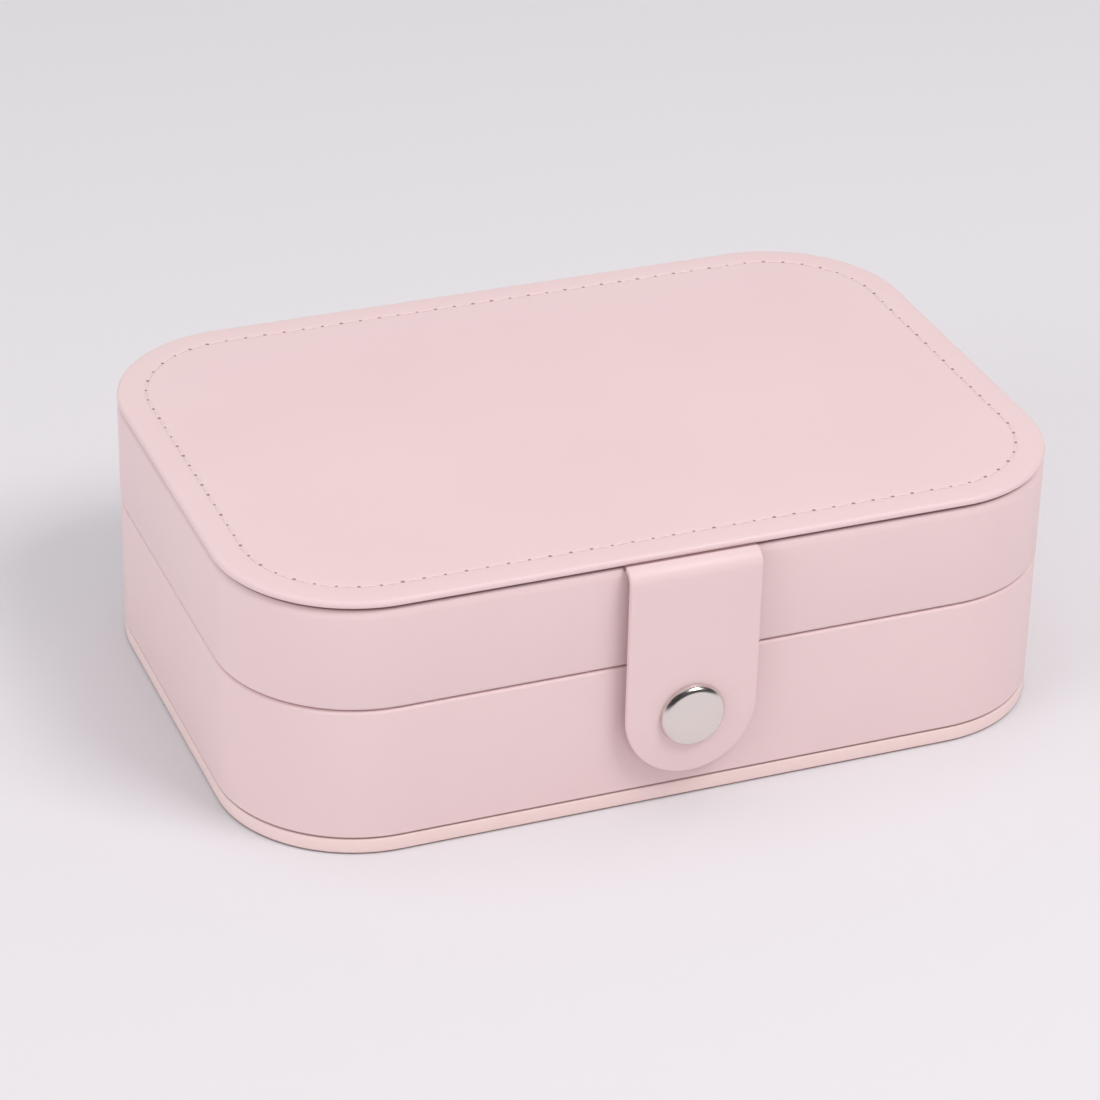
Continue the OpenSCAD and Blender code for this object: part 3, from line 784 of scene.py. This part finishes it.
# The channel's rings in millimetres: how far in each lies, and its rise over the one before.
channel_rings = (
    (4.5, 0.0), (4.95, -0.02), (5.25, -0.05), (5.45, -0.06), (5.65, -0.02), (5.85, 0.02),
    (6.05, 0.06), (6.35, 0.05), (6.9, 0.02),
)


def select_middle_face(piece, height):
    """Selects the face at a height over the middle of the case, and not the rings round it."""
    near_axis = 1 * MM
    select(
        piece, "polygons",
        lambda middle: abs(middle.z - height) < hair and middle.xy.length < near_axis,
    )


top_panel = outline_face("top_panel", 0, top_low.z)
raise_by(top_high.z - top_low.z - margin_fall)
bpy.ops.mesh.inset(thickness=margin_roll, depth=margin_fall)
bevel_rim(top_panel, top_low.z, groove_edge_radius, segments=3)
bevel_rim(top_panel, top_high.z - margin_fall, panel_edge_radius, segments=8)
bpy.ops.mesh.select_all(action="SELECT")
bpy.ops.mesh.normals_make_consistent(inside=False)
select_middle_face(top_panel, top_low.z)
bpy.ops.mesh.inset(thickness=foam_inset - groove_edge_radius, depth=0)
raise_by(foam_high.z - foam_low.z)
select_middle_face(top_panel, top_high.z)
inset_so_far, channel_sink = margin_roll, 0.0
for inset, rise in channel_rings:
    bpy.ops.mesh.inset(thickness=inset * MM - inset_so_far, depth=rise * MM)
    inset_so_far = inset * MM
    if inset_so_far <= stitch_inset:
        channel_sink += rise * MM
dress(finish_mesh(top_panel), case_leather, "lid", "pink_leather", "lid_top_cover")

# ---------------------------------------------------------------------------------------------
# The foam under the panel: a thin white sheet, cut to lie inside the line of stitches.
# It fills the hollow in the panel, with its round edge upwards.
# ---------------------------------------------------------------------------------------------
foam_edge = 0.3 * MM


def open_foam():
    """Fine-celled foam, off white."""
    finish = Finish("open_foam")
    cells = finish.texture("Voronoi", {"Scale": 1500.0})
    return finish.surface(
        Base_Color=finish.mix(cells, (0.70, 0.68, 0.60), (0.88, 0.87, 0.80)),
        Roughness=0.95,
        Normal=finish.bump(cells, 0.6, 0.15 * MM),
    )


foam_sheet = slab("foam_sheet", "lid_foam_pad", foam_inset, foam_edge)
dress(foam_sheet, open_foam(), "lid", "foam", "lid_foam_pad")

# ---------------------------------------------------------------------------------------------
# The stitches: waxed thread in the leather's own colour, sewn all round in the channel.
# Between one stitch and the next, the needle has left a small hole, drawn as a flat disc painted
# dark brown as the shade inside it.
# ---------------------------------------------------------------------------------------------
stitch_pitch, stitch_half = 4.03 * MM, 1.55 * MM
thread_radius, thread_sunk, thread_lift, thread_sway = 0.17 * MM, 0.16 * MM, 0.05 * MM, 0.03
hole_radius, hole_lift = 0.35 * MM, 0.03 * MM
# A stitch's run and rise in millimetres, from where it comes out of the leather to its end.
stitch_steps = (
    (0.35, 0.12), (0.5, 0.06), (0.7, 0.02), (0.7, -0.02), (0.5, -0.06), (0.35, -0.12)
)
channel_floor = top_high.z + channel_sink
chance = random.Random(4)


def along_outline(distance, inset):
    """The point and the heading at a distance along the case's outline, drawn in by an inset."""
    radius = corner_radius - inset
    half_x, half_y = case_width / 2 - corner_radius, case_depth / 2 - corner_radius
    for quarter, (side_x, side_y) in enumerate(((1, -1), (1, 1), (-1, 1), (-1, -1))):
        straight = 2 * (half_y if quarter % 2 else half_x)
        heading = quarter * math.pi / 2
        forward = Vector((math.cos(heading), math.sin(heading), 0))
        outward = Vector((math.sin(heading), -math.cos(heading), 0))
        corner = Vector((side_x * half_x, side_y * half_y, 0))
        if distance < straight:
            return corner + outward * radius - forward * (straight - distance), heading
        distance -= straight
        if distance < radius * math.pi / 2:
            turn = distance / radius
            aim = outward * math.cos(turn) + forward * math.sin(turn)
            return corner + aim * radius, heading + turn
        distance -= radius * math.pi / 2
    return along_outline(distance, inset)


def waxed_thread():
    """Twisted thread, a shade lighter than the leather."""
    finish = Finish("waxed_thread")
    twist = finish.texture("Noise", {"Scale": 3000.0, "Detail": 2.0})
    return finish.surface(
        Base_Color=finish.mix(twist, (0.74, 0.58, 0.575), (0.88, 0.74, 0.73)),
        Roughness=0.6,
        Normal=finish.bump(twist, 0.5, 0.05 * MM),
    )


def painted_hole_shade():
    """The brown of the cut leather in a needle hole, darkened as painted shade of the hole."""
    finish = Finish("painted_hole_shade")
    hole_mottle = finish.texture("Noise", {"Scale": 900.0})
    return finish.surface(
        Base_Color=finish.mix(hole_mottle, (0.26, 0.16, 0.15), (0.48, 0.34, 0.32)), Roughness=0.9
    )


seam_length = 4 * (case_width / 2 + case_depth / 2 - 2 * corner_radius)
seam_length += 2 * math.pi * (corner_radius - stitch_inset)
stitch_count = round(seam_length / stitch_pitch)
seam = [
    along_outline(seam_length * step / (2 * stitch_count), stitch_inset)
    for step in range(2 * stitch_count)
]
stitch = start(
    "top_stitches", bpy.ops.mesh.primitive_circle_add,
    vertices=6, radius=thread_radius, fill_type="NGON", rotation=(0, math.pi / 2, 0),
)
bpy.ops.transform.translate(value=(-stitch_half, 0, -thread_sunk))
for run, rise in stitch_steps:
    extrude((run * MM, 0, rise * MM))
finish_mesh(stitch, tidy=True)
thread_up = Vector((0, 0, channel_floor + thread_lift))
stitches = repeat(
    stitch,
    [
        (point + thread_up, heading + chance.uniform(-thread_sway, thread_sway), 1)
        for point, heading in seam[::2]
    ],
)
dress(stitches, waxed_thread(), "lid", "pink_leather")

# Painted shade: each hole is a flat disc on the channel's floor, painted dark as the shade inside a
# needle hole.
needle_hole = start(
    "needle_holes", bpy.ops.mesh.primitive_circle_add,
    vertices=8, radius=hole_radius, fill_type="NGON",
)
for ring, rise in ((0.06, 0.05), (0.08, -0.04)):
    bpy.ops.mesh.inset(thickness=ring * MM, depth=rise * MM)
finish_mesh(needle_hole)
hole_up = Vector((0, 0, channel_floor + hole_lift))
needle_holes = repeat(
    needle_hole,
    [(point + hole_up, heading, chance.uniform(0.7, 1.2)) for point, heading in seam[1::2]],
)
dress(needle_holes, painted_hole_shade(), "lid", "pink_leather")

# ---------------------------------------------------------------------------------------------
# The pocket inside the lid: thin velvet gathered on an elastic at its mouth and on a cord behind.
# Its sides and back are sewn up to the card above.
# ---------------------------------------------------------------------------------------------
pocket_low, pocket_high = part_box("lid_pocket")
pocket_size, pocket_middle = pocket_high - pocket_low, (pocket_high + pocket_low) / 2
fabric_thickness, sewn_margin = 0.5 * MM, 1.5 * MM
gathers, pocket_rows = 56, 10
# Each round of folds reaches over a share of the pocket and is so many millimetres deep. A point
# moves with a fold while it is still this near the fold's line.
fold_rounds = ((0.75, 0.34), (0.5, 0.3), (0.35, 0.26))
fold_half_width = 0.1 * MM
pocket = start(
    "pocket", bpy.ops.mesh.primitive_grid_add,
    x_subdivisions=2 * gathers, y_subdivisions=pocket_rows, size=1,
)
shape_square(pocket_size.x, pocket_size.y, 0, (pocket_middle.x, pocket_middle.y, pocket_low.z))
for reach, depth in fold_rounds:
    for gather in range(gathers):
        fold_x = pocket_low.x + (2 * gather + 1) * pocket_size.x / (2 * gathers)
        rise, sway = depth * chance.uniform(0.4, 1.3) * MM, chance.uniform(-0.2, 0.2) * MM
        select(
            pocket, "vertices",
            lambda point: abs(point.x - fold_x) < fold_half_width
            and abs(point.y - pocket_middle.y) > pocket_size.y * (1 - reach) / 2
            and abs(point.x) < pocket_high.x - sewn_margin,
        )
        bpy.ops.transform.translate(value=(sway, 0, rise))
select(
    pocket, "edges",
    lambda middle: abs(middle.x) > pocket_high.x - hair or middle.y > pocket_high.y - hair,
)
for bulge in (1.004, 0.996):
    raise_by(pocket_size.z / 2)
    bpy.ops.transform.resize(value=(bulge, 1.0, 1.0), center_override=tuple(pocket_middle))
finish_mesh(pocket, tidy=True)
apply_modifier(pocket, "SUBSURF", levels=1, render_levels=1)
solidify(pocket, fabric_thickness)
gathered_velvet = velvet("gathered_velvet", (0.77, 0.57, 0.575), (0.68, 0.475, 0.485))
dress(pocket, gathered_velvet, "lid", "pocket_fabric", "lid_pocket", smooth=80)

# ---------------------------------------------------------------------------------------------
# The elastic in the pocket's mouth: a ribbed band under the fabric's edge.
# It draws the mouth together.
# ---------------------------------------------------------------------------------------------
elastic_low, elastic_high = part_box("pocket_elastic")
elastic_size, elastic_middle = elastic_high - elastic_low, (elastic_high + elastic_low) / 2
rib_count, rib_depth = 5, 0.22 * MM


def woven_elastic():
    """Knitted elastic: fine rows of loops across the ribs."""
    finish = Finish("woven_elastic")
    loops = finish.texture(
        "Wave",
        {"Scale": 420.0, "Distortion": 1.2, "Detail": 2.0, "Detail Scale": 3.0},
        bands_direction="X",
    )
    return finish.surface(
        Base_Color=finish.mix(loops, (0.68, 0.50, 0.50), (0.82, 0.66, 0.66)),
        Roughness=0.8,
        Sheen_Weight=0.2,
        Normal=finish.bump(loops, 0.5, 0.1 * MM),
    )


elastic = start("elastic")
shape_square(elastic_size.x, elastic_size.y, 0, (elastic_middle.x, elastic_middle.y, elastic_low.z))
raise_by(elastic_size.z)
rib_rows = [
    elastic_low.y + elastic_size.y * row / (2 * rib_count) for row in range(1, 2 * rib_count)
]
cut_rows(rib_rows)
for groove_y in rib_rows[1::2]:
    select(
        elastic, "vertices",
        lambda point: abs(point.y - groove_y) < hair and point.z < elastic_low.z + hair,
    )
    bpy.ops.transform.translate(value=(0, 0, rib_depth))
finish_mesh(elastic, tidy=True)
dress(elastic, woven_elastic(), "lid", "elastic", "pocket_elastic", smooth=60)

# ---------------------------------------------------------------------------------------------
# The bar for necklaces: a strip of card in leather, glued up inside the lid near the front.
# Five plated hooks are riveted to it.
# ---------------------------------------------------------------------------------------------
bar_low, bar_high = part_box("hook_bar")
bar_size, bar_middle = bar_high - bar_low, (bar_high + bar_low) / 2
bar_corner, bar_edge = 2 * MM, 0.45 * MM
necklace_bar = start("necklace_bar")
shape_square(bar_size.x, bar_size.y, bar_corner, (bar_middle.x, bar_middle.y, bar_low.z), steps=6)
raise_by(bar_size.z)
select(necklace_bar, "edges", lambda middle: middle.z < bar_low.z + hair)
bpy.ops.mesh.bevel(offset=bar_edge, segments=4, affect="EDGES")
dress(finish_mesh(necklace_bar, tidy=True), case_leather, "lid", "pink_leather", "hook_bar")

# ---------------------------------------------------------------------------------------------
# The strap: one flap of firm leather. Its end is glued in under the top panel, bends over the
# shoulder and hangs before the wall at the press stud's own thickness, with a round tip.
# ---------------------------------------------------------------------------------------------
root_low, root_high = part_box("strap_root")
strap_thickness, strap_edge = 1.2 * MM, 0.28 * MM
strap_width = strap_high.x - strap_low.x
bend_radius = root_high.z - strap_high.z
bend_y = strap_low.y + bend_radius
tip_radius = strap_width / 2
fall = strap_high.z - strap_low.z - tip_radius
bend_steps, fall_steps, tip_steps = 12, 10, 24
strap = start("strap")
shape_square(
    strap_width, root_high.y - bend_y, 0, (0, (root_high.y + bend_y) / 2, root_high.z)
)
select(strap, "edges", lambda middle: middle.y < bend_y + hair)
bpy.ops.mesh.spin(
    steps=bend_steps, angle=math.pi / 2, center=(0, bend_y, strap_high.z), axis=(-1, 0, 0)
)
select(strap, "edges", lambda middle: middle.z < strap_high.z + hair)
for step in range(fall_steps):
    raise_by(-fall / fall_steps)
raise_by(-tip_radius)
select(strap, "vertices", lambda point: point.z < strap_low.z + hair)
bpy.ops.mesh.bevel(offset=tip_radius, segments=tip_steps, affect="VERTICES")
finish_mesh(strap, tidy=True)
solidify(strap, strap_thickness)
bpy.ops.object.mode_set(mode="EDIT")
soften_edges(strap_edge)
finish_mesh(strap)
# Painted shade: the strap's root is painted brown where it goes in under the top panel, as the
# shade in that groove.
painted_root_shade = ("Y", -case_depth / 2 - 0.45 * MM, 0.0, 0.8)
strap_leather = leather("strap_leather", [painted_root_shade])
dress(strap, strap_leather, None, "pink_leather", "closure_strap", "strap_root")
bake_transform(strap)

# ---------------------------------------------------------------------------------------------
# The press stud's cap: thin bright metal pressed to a hardly crowned face with a round rim.
# Its post goes through the strap and is spread in the socket behind.
# ---------------------------------------------------------------------------------------------
cap_low, cap_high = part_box("snap_cap")
cap_radius = (cap_high.x - cap_low.x) / 2
cap_height = strap_low.y - cap_low.y
cap_z = (cap_high.z + cap_low.z) / 2
cap_crown, cap_rim, cap_rim_steps, cap_lip = 0.3 * MM, 1.5 * MM, 10, 0.15 * MM
crown_shares = (0.985, 0.9, 0.75, 0.55, 0.3, 0.1)
face_radius = cap_radius - cap_rim
rim_height = cap_height - cap_crown - cap_rim
# Each ring is a radius and a height over the strap, from the lip over the rim to the crown.
rings = [(cap_radius - cap_lip, 0.0), (cap_radius, cap_lip), (cap_radius, rim_height)]
for step in range(1, cap_rim_steps):
    turn = step * math.pi / (2 * cap_rim_steps)
    rings.append((face_radius + cap_rim * math.cos(turn), rim_height + cap_rim * math.sin(turn)))
rings += [
    (face_radius * share, cap_height - cap_crown * share * share) for share in crown_shares
]
bright_cap = start(
    "bright_cap", bpy.ops.mesh.primitive_circle_add,
    vertices=96, radius=rings[0][0], fill_type="NGON",
    location=(0, strap_low.y, cap_z), rotation=(math.pi / 2, 0, 0),
)
for (radius, height), (next_radius, next_height) in zip(rings, rings[1:]):
    extrude((0, height - next_height, 0))
    size = next_radius / radius
    bpy.ops.transform.resize(value=(size, 1, size), center_override=(0, strap_low.y, cap_z))
finish_mesh(bright_cap, tidy=True)
chrome = plated("chrome", (0.81, 0.755, 0.72), (0.77, 0.715, 0.68), 0.16)
dress(bright_cap, chrome, "strap", "chrome", "snap_cap")
